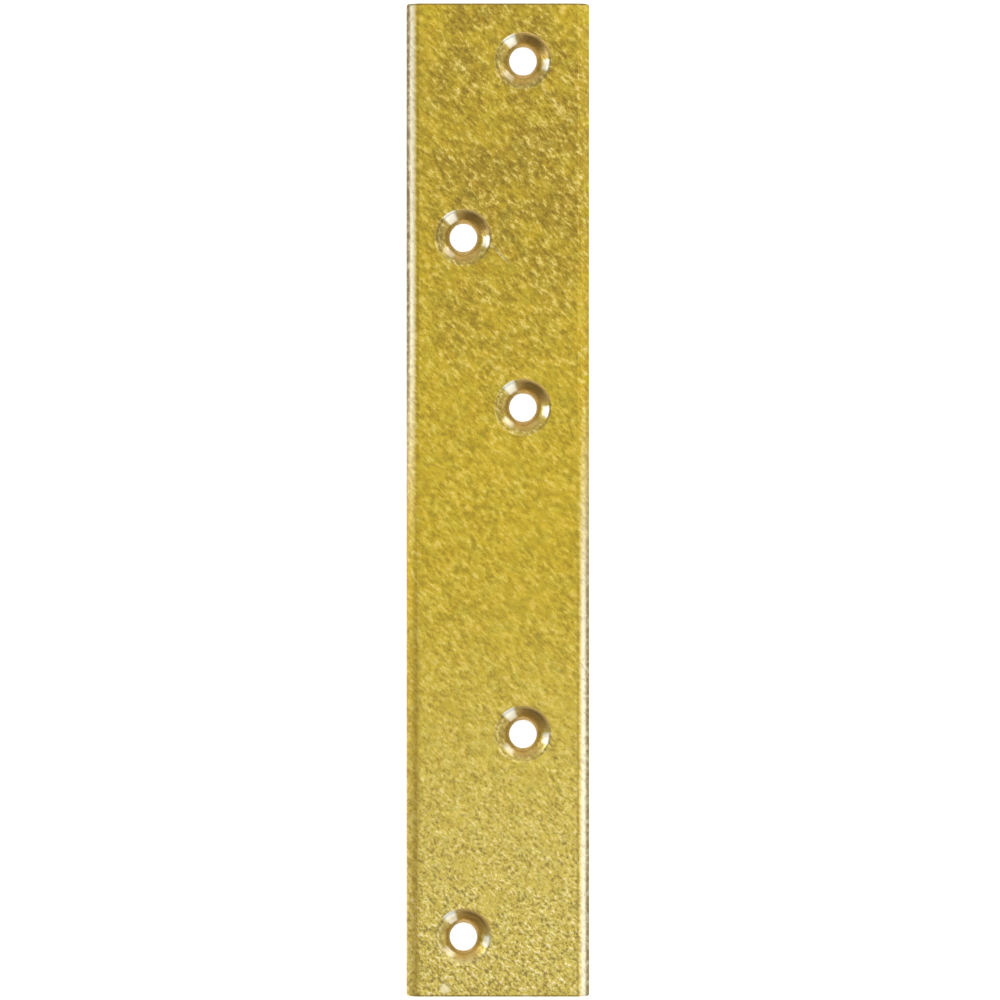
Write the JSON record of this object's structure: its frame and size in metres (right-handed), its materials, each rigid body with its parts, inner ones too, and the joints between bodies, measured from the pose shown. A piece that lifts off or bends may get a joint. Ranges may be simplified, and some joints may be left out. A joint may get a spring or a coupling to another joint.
{
  "type": "mending plate",
  "caption": "Flat straight mending plate of yellow zinc-plated steel strip with rolled long edges and staggered countersunk screw holes.",
  "frame": {"origin": "centre of the back face, which the plate rests on", "axes": "+X across the plate, +Y along it towards the end with the hole in the right row, +Z out of the countersunk face"},
  "size_m": [0.035, 0.19, 0.003],
  "materials": {
    "yellow_zinc_steel": "satin"
  },
  "bodies": {
    "root": {"mending_plate": "yellow_zinc_steel"}
  },
  "joints": []
}
